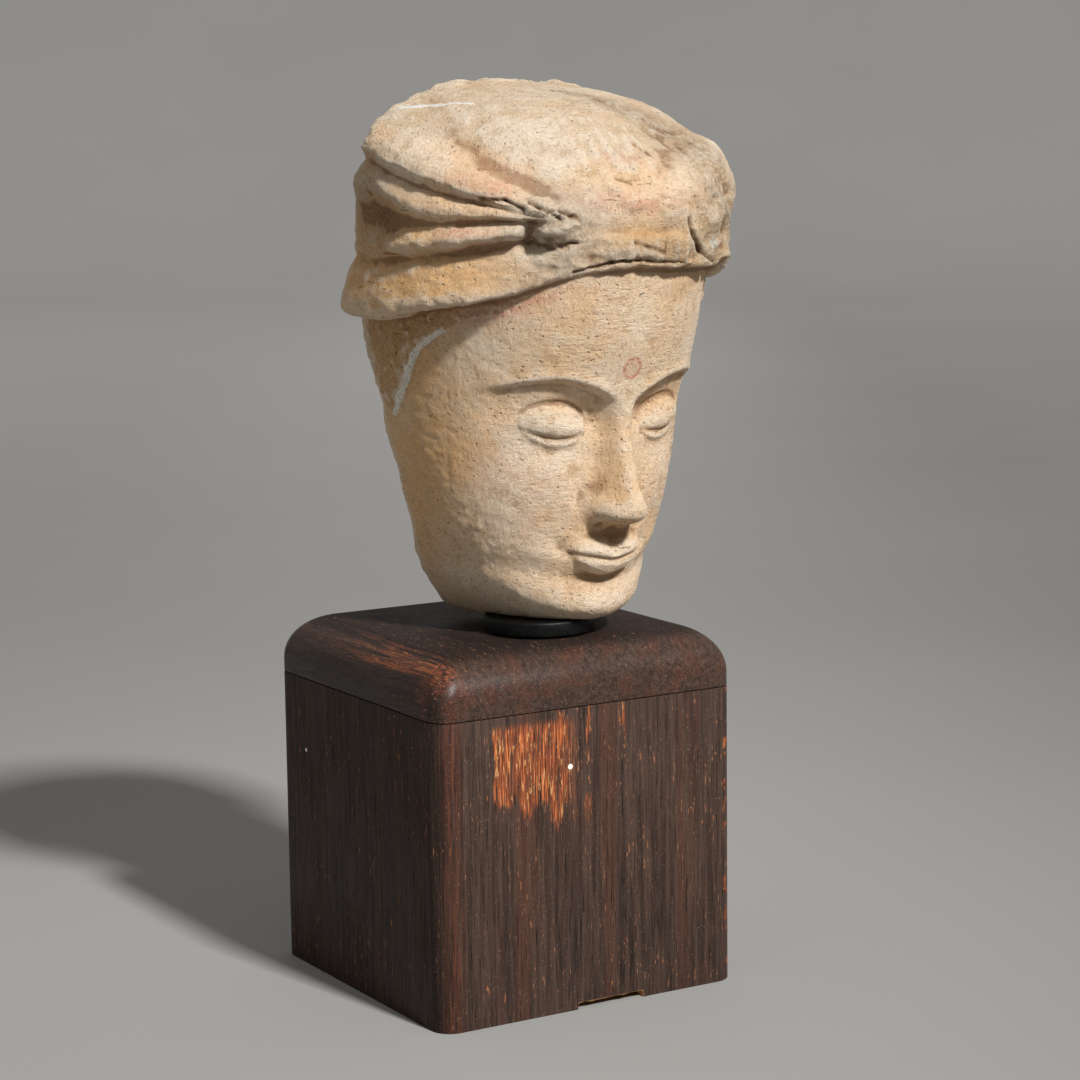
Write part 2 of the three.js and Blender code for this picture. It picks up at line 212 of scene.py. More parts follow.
def selectTop(piece):
    pick(piece, "FACE", lambda face: face.normal.z > 0.9)


def applyAll(piece):
    choose(piece)
    for modifier in list(piece.modifiers):
        bpy.ops.object.modifier_apply(modifier=modifier.name)


def cutWith(piece, cutter):
    modifier = piece.modifiers.new("cut", "BOOLEAN")
    modifier.operation = "DIFFERENCE"
    modifier.solver = "EXACT"
    modifier.object = cutter
    applyAll(piece)
    bpy.data.objects.remove(cutter, do_unlink=True)


# camera, light and floor
view = {
    "camera": (-0.3831, -0.6593, 0.2321),
    "azimuth": -30.97,
    "elevation": 8.568,
    "roll": 0.73,
    "lens": 96.1,
}


def outward(plan):
    # direction from the sculpture to a camera or a light, azimuth zero in front, and the turn to face it
    az, el = math.radians(plan["azimuth"]), math.radians(plan["elevation"])
    back = Vector((math.sin(az) * math.cos(el), -math.cos(az) * math.cos(el), math.sin(el)))
    return back, back.to_track_quat("Z", "Y").to_matrix().to_4x4()


def setCamera():
    turn = outward(view)[1]
    lean = Matrix.Rotation(math.radians(-view["roll"]), 4, "Z")
    bpy.ops.object.camera_add()
    camera = bpy.context.active_object
    camera.name = "camera"
    camera.matrix_world = Matrix.Translation(view["camera"]) @ turn @ lean
    camera.data.lens = view["lens"]
    camera.data.sensor_width = 36
    camera.data.clip_start = 0.01
    bpy.context.scene.camera = camera


studio = {
    "key": {"azimuth": 7, "elevation": 40, "distance": 12, "size": 1.05, "power": 2160,
            "tone": (1, 0.993, 0.978)},
    "fill": {"azimuth": -75, "elevation": 35, "distance": 1.6, "size": 1.2, "power": 0.4,
             "tone": (1, 1, 1)},
    "air": (0.43, 0.424, 0.418),
    # the near, middle, far and sides tones paint the falloff of the light and the shade towards the sides
    "paper": {"front": (147, 146, 144), "near": (130, 129, 127), "middle": (150, 149, 147),
              "far": (124, 123, 121), "sides": (78, 77, 75), "cloud": (184, 182, 179)},
    "paperRadius": 5, "paperHeight": 3, "paperCurve": 2.2,
    "alongView": (0.503, 0.865, 0), "acrossView": (0.857, -0.515, 0),
    "aim": (0, 0, 0.13),
}


def areaLight(name, plan):
    back, turn = outward(plan)
    bpy.ops.object.light_add(type="AREA")
    light = bpy.context.active_object
    light.name = name
    light.data.size = plan["size"]
    light.data.energy = plan["power"]
    light.data.color = plan["tone"]
    light.matrix_world = Matrix.Translation(Vector(studio["aim"]) + back * plan["distance"]) @ turn


def setStudio():
    s = studio
    bpy.context.scene.view_settings.view_transform = "Standard"
    areaLight("keyLight", s["key"])
    areaLight("fillLight", s["fill"])
    world = bpy.data.worlds.new("studioAir")
    world.use_nodes = True
    world.node_tree.nodes["Background"].inputs[0].default_value = (*s["air"], 1)
    bpy.context.scene.world = world
    # seamless paper: floor that curves up all round, far from the sculpture
    bpy.ops.mesh.primitive_cylinder_add(vertices=96, radius=s["paperRadius"], depth=s["paperHeight"],
                                        location=(0, 0, s["paperHeight"] / 2))
    floor = takeNew("floor")
    settle(floor)
    setMode("EDIT")
    selectTop(floor)
    bpy.ops.mesh.delete(type="FACE")
    selectEdges(floor, lambda a, b: abs(a.z) < 0.01 and abs(b.z) < 0.01)
    bpy.ops.mesh.bevel(offset=s["paperCurve"], segments=28, affect="EDGES")
    bpy.ops.mesh.select_all(action="SELECT")
    bpy.ops.mesh.flip_normals()
    setMode("OBJECT")
    bpy.ops.object.shade_smooth()
    paper = Finish("paper", 0.75, 0.2)
    c = paints(s["paper"])
    at = paper.place()
    soft = paper.noise(at, 3.0, 2.0)
    # painted light falloff: the tone changes with the distance and along the view, and painted shade darkens
    # it towards the sides
    away = paper.measure("LENGTH", at)
    along = paper.measure("DOT_PRODUCT", at, s["alongView"])
    tone = paper.mix(paper.between(along, 0.0, 0.52), c["front"], c["near"])
    tone = paper.layers(tone, c, [(away, 0.6, 2.1, 1, "middle"), (away, 2.1, 4.5, 1, "far")])
    across = paper.measure("DOT_PRODUCT", at, s["acrossView"])
    sides = paper.between(across, 0.0, 0.34, 0, 0.5) + paper.between(across, 0.04, -0.34, 0, 0.24)
    tone = paper.mix(sides * paper.between(away, 4.0, 1.6), tone, c["sides"])
    cover(floor, paper.finish(paper.mix(soft * 0.1, tone, c["cloud"])))


setCamera()
setStudio()
print("camera, light and floor done")

# form of the head, in shares of a head 134 units high:
# x to its left, z up from the chin, depth towards the face
head = {
    "height": 134, "pitch": 10, "yaw": 5, "right": 4.6, "back": 7.1,
    # rows from each guide to the next, down from the top
    "rowCounts": [6, 4, 1, 3, 1, 3, 1, 4, 1, 5, 8, 12, 4, 4],
    "finer": 5, "columns": 336,
}

sideWidth = [
    (-9, 17), (-4, 20), (0, 22), (4, 24.5), (8, 27), (15, 30.6), (22, 33.2),
    (32, 36), (45, 38.4), (56, 39.6), (66, 40), (80, 40.6), (98, 42), (140, 42)]
midDepth = [
    (-9, 30), (-4, 35), (0, 39.5), (4, 43), (8, 44.6), (12, 44), (16.5, 42.2),
    (22, 43.6), (32, 44), (45, 43.2), (56, 43.2), (64.7, 45.4), (80, 47.8), (98, 47.6), (140, 47.6)]
noseHeight = [
    (27.5, 0), (30, 1.6), (32, 7.6), (34, 10.8), (37, 11.6), (41, 10), (46, 7.6),
    (52, 5.2), (58, 3.2), (63, 1.5), (69, 0)]
noseWidth = [(28, 5.6), (33, 5.6), (38, 5.2), (44, 4.3), (52, 3.8), (60, 4), (69, 6.5)]
hairEdge = [
    (44, -2), (50, -0.6), (54, 2), (60, 4.6), (65, 6.4), (69, 8.4), (72, 11.4),
    (76, 16.5), (80, 24), (84, 32)]
breakDepth = [
    (-9, -3), (12, -2.5), (24, -2), (34, -0.5), (43, 2.5), (52, 6), (64, 12.5),
    (74, 16), (86, 17.5), (104, 15), (120, 13), (140, 12)]
rimLine = [
    (-180, 74), (-120, 74), (-100, 75), (-84, 77), (-69, 82), (-53, 86), (-39, 90),
    (-28, 94), (-17, 96.6), (0, 97.4), (21, 96.2), (45, 93.6), (80, 83), (110, 76), (180, 74)]
foldTop = [
    (-180, 86), (-105, 88), (-89, 94), (-70, 95.6), (-51, 97), (-36, 99), (-24, 100),
    (24, 100), (50, 97), (80, 95), (105, 88), (180, 86)]
thirdLow = [
    (-180, 89), (-97, 90.5), (-80, 94.5), (-67, 97.4), (-54, 100.7), (-45, 102.9), (-38, 104.3),
    (-30, 105.6), (30, 106), (55, 101), (90, 94), (180, 91)]
thirdTop = [
    (-180, 95.5), (-97, 97), (-79, 100.8), (-65, 103.8), (-52, 106.2), (-38, 108), (-30, 108.4), (30, 109),
    (60, 106), (100, 99), (180, 97)]
secondLow = [
    (-180, 106), (-97, 105.6), (-79, 105.2), (-70, 105.4), (-61, 106.3), (-52, 107.6), (-45, 108.5),
    (-38, 109), (-30, 109.2), (30, 109.6), (60, 108), (100, 107), (180, 107)]
firstLow = [
    (-180, 116), (-98, 116.5), (-82, 115), (-68, 113.8), (-58, 113), (-49, 112.2), (-42, 111.4),
    (-30, 110.8), (30, 112), (53, 115), (98, 115), (180, 115)]
firstTop = [
    (-180, 129), (-100, 128.5), (-76, 124.8), (-60, 121.7), (-50, 118.9), (-42, 116.4), (-35, 114.4),
    (-28, 113), (28, 114), (54, 121), (100, 128), (180, 128)]
massTop = [
    (-180, 114), (-12, 114), (-2, 116), (8, 120.6), (22, 124), (43, 126), (66, 125), (95, 119), (180, 116)]


def unit(value):
    return np.clip(value, 0, 1)


def step(low, high, value):
    t = unit((value - low) / (high - low))
    return t * t * (3 - 2 * t)


def bump(value):
    return np.exp(-value * value)


def smoothMax(a, b, k):
    h = np.maximum(k - np.abs(a - b), 0) / k
    return np.maximum(a, b) + h * h * k * 0.25


def curve(table, at):
    # smooth curve through a table of (at, value) pairs
    xs = np.array([p[0] for p in table], float)
    ys = np.array([p[1] for p in table], float)
    slopes = np.empty_like(xs)
    slopes[1:-1] = (ys[2:] - ys[:-2]) / (xs[2:] - xs[:-2])
    slopes[0] = (ys[1] - ys[0]) / (xs[1] - xs[0])
    slopes[-1] = (ys[-1] - ys[-2]) / (xs[-1] - xs[-2])
    at = np.clip(at, xs[0], xs[-1])
    i = np.clip(np.searchsorted(xs, at, side="left") - 1, 0, len(xs) - 2)
    w = xs[i + 1] - xs[i]
    t = (at - xs[i]) / w
    rise = t * t * (3 - 2 * t)
    return (ys[i] + (ys[i + 1] - ys[i]) * rise
            + t * (1 - t) ** 2 * w * slopes[i] - t * t * (1 - t) * w * slopes[i + 1])


def faceRelief(x, z):
    # brows, lids, nose, lips and chin, by common proportions
    side = np.abs(x)
    browLine = 62.2 + 6.2 * np.sin(unit((side - 2) / 31) * math.pi * 0.93)
    along = step(2, 7, side) * (1 - step(28, 35, side))
    below = browLine - z
    h = along * 0.9 * bump((z - browLine - 0.6) / 2)
    h = h - along * 2.4 * step(-0.8, 1.8, below) * (1 - step(5, 13, below))
    h = h - 1.8 * bump((side - 9) / 5.5) * bump((z - 58) / 6)
    h = h - 1.2 * bump((side - 18) / 9) * bump((z - 50) / 5)
    eyeX = (side - 17) / 8.6
    ball = unit(1 - eyeX * eyeX)
    upper = 56.6 + 4.4 * ball ** 0.75
    slit = 54.9 - 1.9 * ball + 0.5 * eyeX
    lower = slit - 2.6 * ball
    inEye = step(0, 0.2, ball)
    h = h + inEye * 1.9 * np.sqrt(ball) * step(lower - 1, slit, z) * (1 - step(slit + 2, upper + 1.5, z))
    h = h - inEye * 1.1 * bump((z - upper - 0.7) / 0.9)
    h = h - inEye * 1.3 * bump((z - slit + 0.5) / 0.8)
    h = h + inEye * 0.7 * bump((z - lower - 0.2) / 0.9)
    h = h + curve(noseHeight, z) * bump((side / curve(noseWidth, z)) ** 1.35)
    h = h + 4.4 * bump((side - 5.8) / 2.7) * bump((z - 35.2) / 3.1)
    h = h - 1.0 * bump((side - 9.6) / 1.5) * bump((z - 36.5) / 3.5)
    h = h - 2.2 * bump((side - 3.8) / 1.6) * bump((z - 31) / 1.4)
    lip = unit(1 - (side / 12) ** 2)
    line = 21.6 - 0.5 * bump(side / 3) + 1.2 * (side / 12) ** 2
    top = line + (4.6 - 0.7 * bump(side / 1.6)) * np.sqrt(lip)
    low = line - 5.4 * unit(1 - (side / 10.5) ** 2) ** 0.6
    h = h + 3 * lip ** 0.6 * step(line - 1.1, line + 0.9, z) * (1 - step(top - 1.6, top + 1.2, z))
    h = h + 3 * lip ** 0.8 * step(low - 0.8, low + 2, z) * (1 - step(line - 1, line + 0.8, z))
    h = h - 1.2 * step(0, 0.3, lip) * bump((z - line) / 0.8)
    h = h - 1.5 * bump((side - 12.4) / 2) * bump((z - line) / 2.4)
    h = h - 0.9 * bump(side / 2) * bump((z - 28) / 2.6)
    h = h + 1.0 * bump((side - 21) / 9) * bump((z - 40) / 9)
    h = h - 1.0 * bump((side - 15) / 4) * bump((z - 27) / 7)
    h = h + 1.6 * bump(side / 9) * bump((z - 7) / 5.5)
    h = h + 2.0 * bump(side / 14) * bump((z - 21) / 6)
    h = h - 1.0 * bump(side / 9) * bump((z - 14.6) / 2.2)
    return h


def roll(z, low, top, height, lip):
    # one roll of cloth between two edges, fullest near its lower edge
    t = (z - low) / (top - low)
    return height * step(-lip, lip, t) * (1 - step(0.3, 1.05, t))


def turbanRelief(angle, z):
    folded = (step(-24, -36, angle) * step(-150, -115, angle)
              + 0.7 * step(62, 90, angle) * step(150, 112, angle))
    rim = curve(rimLine, angle)
    band = roll(z, rim - 5, curve(foldTop, angle) + 1, 1, 0.1)
    h = 2.6 * step(-30, -60, angle) * band + 1.6 * step(30, 70, angle) * band
    third = curve(thirdLow, angle)
    first = curve(firstLow, angle)
    apart = 1 - step(-76, -90, angle)
    h = h + folded * apart * roll(z, third, curve(thirdTop, angle) + 2, 3, 0.2)
    h = h + folded * roll(z, curve(secondLow, angle), first + 1, 3, 0.16 + 0.35 * (1 - apart))
    h = h + folded * roll(z, first, curve(firstTop, angle) + 1.6, 3.8, 0.14)
    h = h - folded * (0.5 + 0.6 * step(-45, -60, angle)) * bump((z - curve(firstTop, angle) - 1.6) / 1.7)
    h = h - folded * 1.3 * bump((z - third + 1.2) / 1.8)
    h = h - 3.0 * bump((angle + 89) / 11) * bump((z - 103) / 4.5)
    h = h + 2.4 * bump((angle + 29) / 6) * bump((z - 109) / 6.5)
    h = h - 4.4 * bump((angle + 37.6) / 1.8) * bump((z - 105) / 3)
    hang = np.hypot((angle + 6) / 15, (z - 131) / 20)
    h = h + 0.45 * bump((angle + 4) / 18) * np.sin(hang * 17) * (1 - step(0.9, 1.4, hang))
    h = h - 1.5 * bump((angle + 4) / 15) * bump((z - 107.5) / 2.4)
    boss = np.abs(np.cos(((angle + 3 * np.sin(angle * 0.17)) / 12.5) * math.pi)) ** 0.7
    h = h + 1.5 * step(-30, -22, angle) * (1 - step(38, 46, angle)) * bump((z - rim - 5) / 4) * (boss - 0.45)
    mass = step(-4, 10, angle) * (1 - step(62, 96, angle)) * (0.3 + 0.7 * step(103, 117, z))
    h = h + 3.6 * mass * (1 - step(-2.4, 1, z - curve(massTop, angle)))
    h = h + 1.1 * bump((angle - 30) / 16) * np.sin(z * 0.55 + angle * 0.2) * np.sin(angle * 0.31)
    return h


def form(x, depth, z):
    # below zero inside the head, above zero outside
    side = np.abs(x)
    wide = curve(sideWidth, z)
    front = curve(midDepth, z)
    deep = front + 2 + step(0, 14, depth - 12) * faceRelief(x, z)
    hair = 1.2 * step(50, 56, z) * step(1, -1, depth - curve(hairEdge, z))
    q = ((side / (wide + hair)) ** 2.25 + (np.maximum(depth + 2, 0) / deep) ** 2.25) ** (1 / 2.25)
    near = step(10, 40, depth)
    face = (q - 1) * (wide * (1 - 0.5 * near) + 0.5 * front * near)
    under = -5.4 + 5.6 * step(0, 40, depth) + 4.2 * step(12, 30, side) * step(-4, 20, depth)
    face = np.maximum(smoothMax(face, under - z, 9), z - 112)
    angle = np.degrees(np.arctan2(x, depth))
    rise = np.maximum(z - 101, 0) / 33
    flat = np.hypot(x / 48.4, (depth - 0.5) / 49.6)
    full = 2.9 - 0.75 * bump((angle - 25) / 40)
    dome = (flat ** full + rise ** full) ** (1 / full)
    turban = (dome - 1) * 46 - step(0.25, 0.8, flat) * turbanRelief(angle, z)
    turban = smoothMax(turban, curve(rimLine, angle) - z, 2.2)
    both = np.minimum(face, turban)
    rough = (0.8 * np.sin(x * 0.21 + z * 0.07) * np.sin(z * 0.16 + 1.2)
             + 0.5 * np.sin(x * 0.43 - z * 0.3))
    back = curve(breakDepth, z) + (5 + 11 * step(60, 90, z)) * (1 - np.minimum(1, (side / 46) ** 2)) + rough
    return smoothMax(both, -depth - back, 2.4)


scramble = {"x": 73856093, "y": 19349663, "z": 83492791, "again": 1274126177, "seedShift": 17.3}


def cellValue(x, y, z):
    # random value 0 to 1 of a cell, from its whole-number place
    k = (x * scramble["x"]) ^ (y * scramble["y"]) ^ (z * scramble["z"])
    k = (k ^ (k >> 13)) * scramble["again"] & 0xFFFFFFFF
    return ((k ^ (k >> 16)) & 0xFFFF) / 65535.0


def grain3(p, size, seed):
    # smooth random value at points, one value a cell of the given size
    q = p / size + seed * scramble["seedShift"]
    base = np.floor(q).astype(np.int64)
    t = q - base
    t = t * t * (3 - 2 * t)
    total = np.zeros(len(p))
    for dx in (0, 1):
        for dy in (0, 1):
            for dz in (0, 1):
                value = cellValue(base[:, 0] + dx, base[:, 1] + dy, base[:, 2] + dz)
                share = t[:, 0] if dx else 1 - t[:, 0]
                share = share * (t[:, 1] if dy else 1 - t[:, 1])
                total += value * (share * (t[:, 2] if dz else 1 - t[:, 2]))
    return total * 2 - 1


def grains(p, table):
    # sum of grains, each with its strength, size and seed
    return sum(strength * grain3(p, size, seed) for strength, size, seed in table)


def spread(low, high, count, weight):
    # grid lines closer together where the carving is
    fine = np.linspace(low, high, 4001)
    sums = np.concatenate([[0], np.cumsum(weight((fine[1:] + fine[:-1]) / 2))])
    return np.interp(np.linspace(0, sums[-1], count + 1), sums, fine)


def startHeight(polar):
    # rays to the face start lower than those to the turban
    return 92 - 44 * step(95, 140, polar)


def rowGuides(angle):
    # ray angles where guide rows run: along the edges of the folds, then down the face
    polar = np.linspace(20, 150, 2600)
    meets = startHeight(polar) + 50 / np.tan(np.radians(polar))
    folds = step(-26, -38, angle) + step(56, 74, angle)
    rim = curve(rimLine, angle)
    first = 119 + (curve(firstLow, angle) - 119) * folds
    heights = [126 + (curve(firstTop, angle) - 126) * folds, first + 0.9, first - 1.3]
    for front, table in ((113, secondLow), (108, thirdTop), (103, thirdLow)):
        heights.append(front + (curve(table, angle) - front) * folds)
    heights.append(np.maximum(100 + (curve(foldTop, angle) - 100) * folds, rim + 2.5))
    heights += [rim + 0.8, rim - 1.6] + [np.full_like(angle, h) for h in (70, 45, 12, -3)]
    guides = [np.interp(-h, -meets, polar) for h in heights]
    return np.stack([np.zeros_like(angle), *guides, np.full_like(angle, 180)], 1)


def columnWeight(a):
    front = step(-78, -68, a) * (1 - step(60, 72, a))
    sides = step(-125, -105, a) * (1 - step(100, 120, a))
    middle = 1 - step(22, 34, np.abs(a + 2))
    return 0.36 + 0.45 * sides + 0.75 * front + 0.3 * middle


def castRays(direction, polar):
    # where each ray from inside the head first leaves it, by steps and then by halving
    start = np.zeros((len(direction), 3))
    start[:, 1] = 2
    start[:, 2] = startHeight(np.degrees(polar))
    inside = np.full(len(direction), 8.0)
    outside = np.full(len(direction), 120.0)
    active = np.arange(len(direction))
    reach = inside.copy()
    for _ in range(150):
        p = start[active] + direction[active] * reach[active, None]
        value = form(p[:, 0], p[:, 1], p[:, 2])
        out = value >= 0
        outside[active[out]] = reach[active[out]]
        inside[active[~out]] = reach[active[~out]]
        active = active[~out]
        if not len(active):
            break
        reach[active] += np.clip(-value[~out] * 0.55, 0.35, 5)
    for _ in range(12):
        middle = (inside + outside) / 2
        p = start + direction * middle[:, None]
        out = form(p[:, 0], p[:, 1], p[:, 2]) >= 0
        outside = np.where(out, middle, outside)
        inside = np.where(out, inside, middle)
    return start + direction * inside[:, None]


def headTurn():
    p, y = math.radians(head["pitch"]), math.radians(head["yaw"])
    tilt = np.array([[1, 0, 0], [0, math.cos(p), -math.sin(p)], [0, math.sin(p), math.cos(p)]])
    turn = np.array([[math.cos(y), -math.sin(y), 0], [math.sin(y), math.cos(y), 0], [0, 0, 1]])
    return turn @ tilt


def neighbourMean(points, edges):
    count = len(points)
    ways = np.bincount(edges.ravel(), minlength=count)
    out = np.empty_like(points)
    for k in range(3):
        out[:, k] = (np.bincount(edges[:, 0], points[edges[:, 1], k], count)
                     + np.bincount(edges[:, 1], points[edges[:, 0], k], count)) / ways
    return out


def setPoints(mesh, world):
    mesh.vertices.foreach_set("co", (world / 1000).ravel())
    mesh.update()


def normalsOf(mesh, world):
    setPoints(mesh, world)
    normal = np.empty(len(world) * 3)
    mesh.vertices.foreach_get("normal", normal)
    return normal.reshape(-1, 3)


def groove(u, v, first, last, width):
    # one near a line between two points of a chart, zero away from it
    du, dv = last[0] - first[0], last[1] - first[1]
    t = unit(((u - first[0]) * du + (v - first[1]) * dv) / (du * du + dv * dv))
    away = np.hypot(u - first[0] - t * du, v - first[1] - t * dv)
    return bump(away / width)


# relief finer than the solid; each grain has its strength, size and seed
relief = {
    "clay": [(0.09, 1.5, 1), (0.13, 4.1, 2)],
    "turban": [(0.08, 1.8, 3), (0.3, 7.2, 4)],
    "torn": [(0.3, 1.4, 9), (0.7, 5.6, 6)], "tornCreases": 0.55,
    "broken": [(0.25, 1.2, 15), (0.5, 2.4, 7), (0.9, 7.5, 8)], "brokenCreases": 0.5,
    "hair": [(0.4, 1.5, 10)],
    "strokes": 0.05, "turbanStrokes": 0.12, "chips": 0.3,
    # cracks from one angle and height to another, with width and depth
    "cracks": [
        ((12.4, 109.5), (14.7, 105.4), 0.7, 1.6), ((14.7, 105.4), (20.4, 101.1), 0.8, 1.8),
        ((20.4, 101.1), (28.5, 96.8), 0.7, 1.4), ((-38.5, 113.6), (-33, 111.8), 0.5, 1.2),
        ((-33, 111.8), (-29.5, 110), 0.5, 1.1), ((-36, 101.2), (-27, 102.9), 0.45, 0.9),
        ((-24, 96.2), (-13, 99.4), 0.6, 1.3), ((-13, 99.4), (-4, 99.8), 0.5, 1.1),
        ((-4, 99.8), (11, 98.6), 0.5, 0.9), ((31, 117), (36, 104), 0.7, 1.0),
        ((-52, 112.8), (-45, 113.4), 0.45, 1.1), ((-45, 113.4), (-40, 111.6), 0.5, 1.2),
        ((-30.5, 112.6), (-24, 109.8), 0.5, 1.0), ((-38, 102.6), (-24, 104), 0.45, 0.8),
        ((-6, 104.4), (4, 101.6), 0.6, 0.8), ((-12, 119.5), (-6, 118), 0.35, 0.5),
        ((3, 126.6), (9, 123.8), 0.4, 0.6)],
}

# painted ring, white scratch and plaster, in the head's own units
marks = {
    "ring": (0, 0, 71.5), "ringNear": 2.3, "ringFar": 3.3, "ringEdge": 0.6,
    "scratch": (-36.5, 13, 127), "scratchTurn": (0, 0, -1.04), "scratchLength": 23,
    "plaster": (26.7, 102.3), "plasterSize": (2.2, 2),
}


def overNeighbours(mesh, world, edges, rounds):
    # how far each vertex stands over the mean of the vertices round it
    mean = world
    for _ in range(rounds):
        mean = neighbourMean(mean, edges)
    return ((world - mean) * normalsOf(mesh, world)).sum(1)


def makeHead():
    clearSelection()
    rings = sum(head["rowCounts"]) * head["finer"]
    bpy.ops.mesh.primitive_uv_sphere_add(segments=head["columns"], ring_count=rings, radius=1)
    piece = takeNew("terracottaHead")
    mesh = piece.data
    count = len(mesh.vertices)
    co = np.empty(count * 3)
    mesh.vertices.foreach_get("co", co)
    co = co.reshape(-1, 3)
    polar = np.degrees(np.arccos(np.clip(co[:, 2], -1, 1)))
    azimuth = np.degrees(np.arctan2(co[:, 0], -co[:, 1]))
    columns = spread(-180, 180, head["columns"], columnWeight)
    azimuth = np.interp((azimuth + 180) / 360 * head["columns"], np.arange(head["columns"] + 1), columns)
    edgesOfRows = np.concatenate([[0], np.cumsum(head["rowCounts"])]) * head["finer"]
    row = polar / 180 * rings
    part = np.clip(np.searchsorted(edgesOfRows, row, side="right") - 1, 0, len(head["rowCounts"]) - 1)
    share = (row - edgesOfRows[part]) / (edgesOfRows[part + 1] - edgesOfRows[part])
    guides = rowGuides(azimuth)
    every = np.arange(count)
    polar = np.radians(guides[every, part] * (1 - share) + guides[every, part + 1] * share)
    azimuth = np.radians(azimuth)
    direction = np.stack([np.sin(polar) * np.sin(azimuth), np.sin(polar) * np.cos(azimuth),
                          np.cos(polar)], 1)
    local = castRays(direction, polar)
    print("head surface found")
    # into the head's own upright axes: x, back, up
    upright = np.stack([local[:, 0], -local[:, 1], local[:, 2]], 1)
    size = head["height"] / 134
    world = (upright * size) @ headTurn().T
    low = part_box("head")[0][2] * 1000
    world += np.array([head["right"], head["back"], low - world[:, 2].min()])
    # relief, stronger where the clay is broken
    edges = np.empty(len(mesh.edges) * 2, int)
    mesh.edges.foreach_get("vertices", edges)
    edges = edges.reshape(-1, 2)
    x, depth, z = local.T
    angle = np.degrees(np.arctan2(x, depth))
    rim = curve(rimLine, angle)
    onTurban = step(-1, 2, z - rim)
    soften = 0.25 + 0.3 * onTurban
    for _ in range(2):
        world += (neighbourMean(world, edges) - world) * soften[:, None]
    broken = step(-3, 0.5, -depth - curve(breakDepth, z) - 3)
    away = depth - curve(hairEdge, z)
    hair = step(51, 54, z) * step(0.4, -0.4, away) * (1 - onTurban) * (1 - broken)
    torn = onTurban * unit(bump((angle - 36) / 13) + 0.9 * bump((angle + 30) / 9) * bump((z - 108) / 7)
                           + 0.8 * bump((angle + 96) / 12) * bump((z - 104) / 9)
                           + bump((angle - 2) / 26) * bump((z - rim - 3) / 4.5))
    # lips of the folds are chipped, so they are found first
    lip = unit(overNeighbours(mesh, world, edges, 6) * 3) * onTurban
    strokes = grain3(local * np.array([0.3, 0.3, 1]), 1.1, 12)
    push = grains(local, relief["clay"]) + relief["strokes"] * strokes
    push += onTurban * (grains(local, relief["turban"]) + relief["turbanStrokes"] * strokes)
    creased = 1 - 2.2 * np.abs(grain3(local, 3.4, 5))
    push += torn * (grains(local, relief["torn"]) + relief["tornCreases"] * creased)
    push -= lip * (0.1 + 0.4 * step(0.1, 0.5, grain3(local, 3.1, 13)))
    push -= relief["chips"] * step(0.6, 0.72, grain3(local, 4.2, 14)) * onTurban * (0.25 + 0.75 * torn)
    push += broken * (grains(local, relief["broken"]) + relief["brokenCreases"] * creased)
    push += hair * grains(local, relief["hair"])
    cracks = sum(groove(angle, z, first, last, wide) * deep for first, last, wide, deep in relief["cracks"])
    push -= cracks * (1 + 0.5 * grain3(local, 1.5, 11))
    world = world + normalsOf(mesh, world) * push[:, None]
    # hollows and ridges, from how far each vertex lies under or over its neighbours: painted shade in the
    # hollows, painted highlight on the ridges
    level = overNeighbours(mesh, world, edges, 9)
    store = {
        "broken": broken, "torn": torn, "hair": hair,
        "hollow": unit(level * -2.2), "ridge": unit(level * 2.2),
        "crack": unit(cracks * 0.6 - 0.1),
        "away": np.where((x < 0) & (z > 50) & (z < 77) & (onTurban < 0.5), np.clip(away, -8, 8), 8),
    }
    # traces of colour
    pink = 1.2 * bump((angle + 47) / 20) * bump((z - rim + 3) / 2.8)
    pink = pink + 0.8 * bump((angle + 56) / 8) * bump((z - 103) / 4)
    pink = pink + 0.6 * bump((angle + 50) / 12) * bump((z - 116) / 4)
    pink = pink + 0.7 * bump((angle + 8) / 16) * (bump((z - 124) / 1.6) + bump((z - 114) / 3))
    pink = pink + 0.3 * bump((np.abs(x) - 24) / 9) * bump((z - 38) / 11) * step(0, 20, depth)
    store["pink"] = unit(pink)
    ochre = bump(x / 6) * bump((z - 38) / 13) * step(30, 42, depth)
    ochre = ochre + 0.9 * bump((angle + 62) / 14) * bump((z - 44) / 12) * (1 - onTurban)
    ochre = ochre + 0.8 * step(10, -4, z) + 0.9 * bump((z - rim - 7) / 6) * step(-34, -50, angle)
    ochre = ochre + 0.8 * bump((angle + 2) / 14) * bump((z - 106.5) / 2)
    # on the left side below the turban the ochre is partly real and partly painted warm bounce light,
    # lifting the shaded side
    ochre = ochre + 0.8 * step(-50, -80, angle) * step(116, 106, z) + 0.5 * broken + 0.5 * hair
    store["ochre"] = unit(ochre)
    wide, high = marks["plasterSize"]
    plaster = bump((angle - marks["plaster"][0]) / wide) * bump((z - marks["plaster"][1]) / high)
    store["plaster"] = unit(plaster)
    store["crown"] = step(120, 126, z) * step(48, 42, np.hypot(x, depth))
    setPoints(mesh, world)
    for name, values in store.items():
        kept = mesh.attributes.new(name, "FLOAT", "POINT")
        kept.data.foreach_set("value", values.astype(np.float32))
    own = mesh.attributes.new("own", "FLOAT_VECTOR", "POINT")
    own.data.foreach_set("vector", (upright * size).astype(np.float32).ravel())
    settle(piece)
    return piece


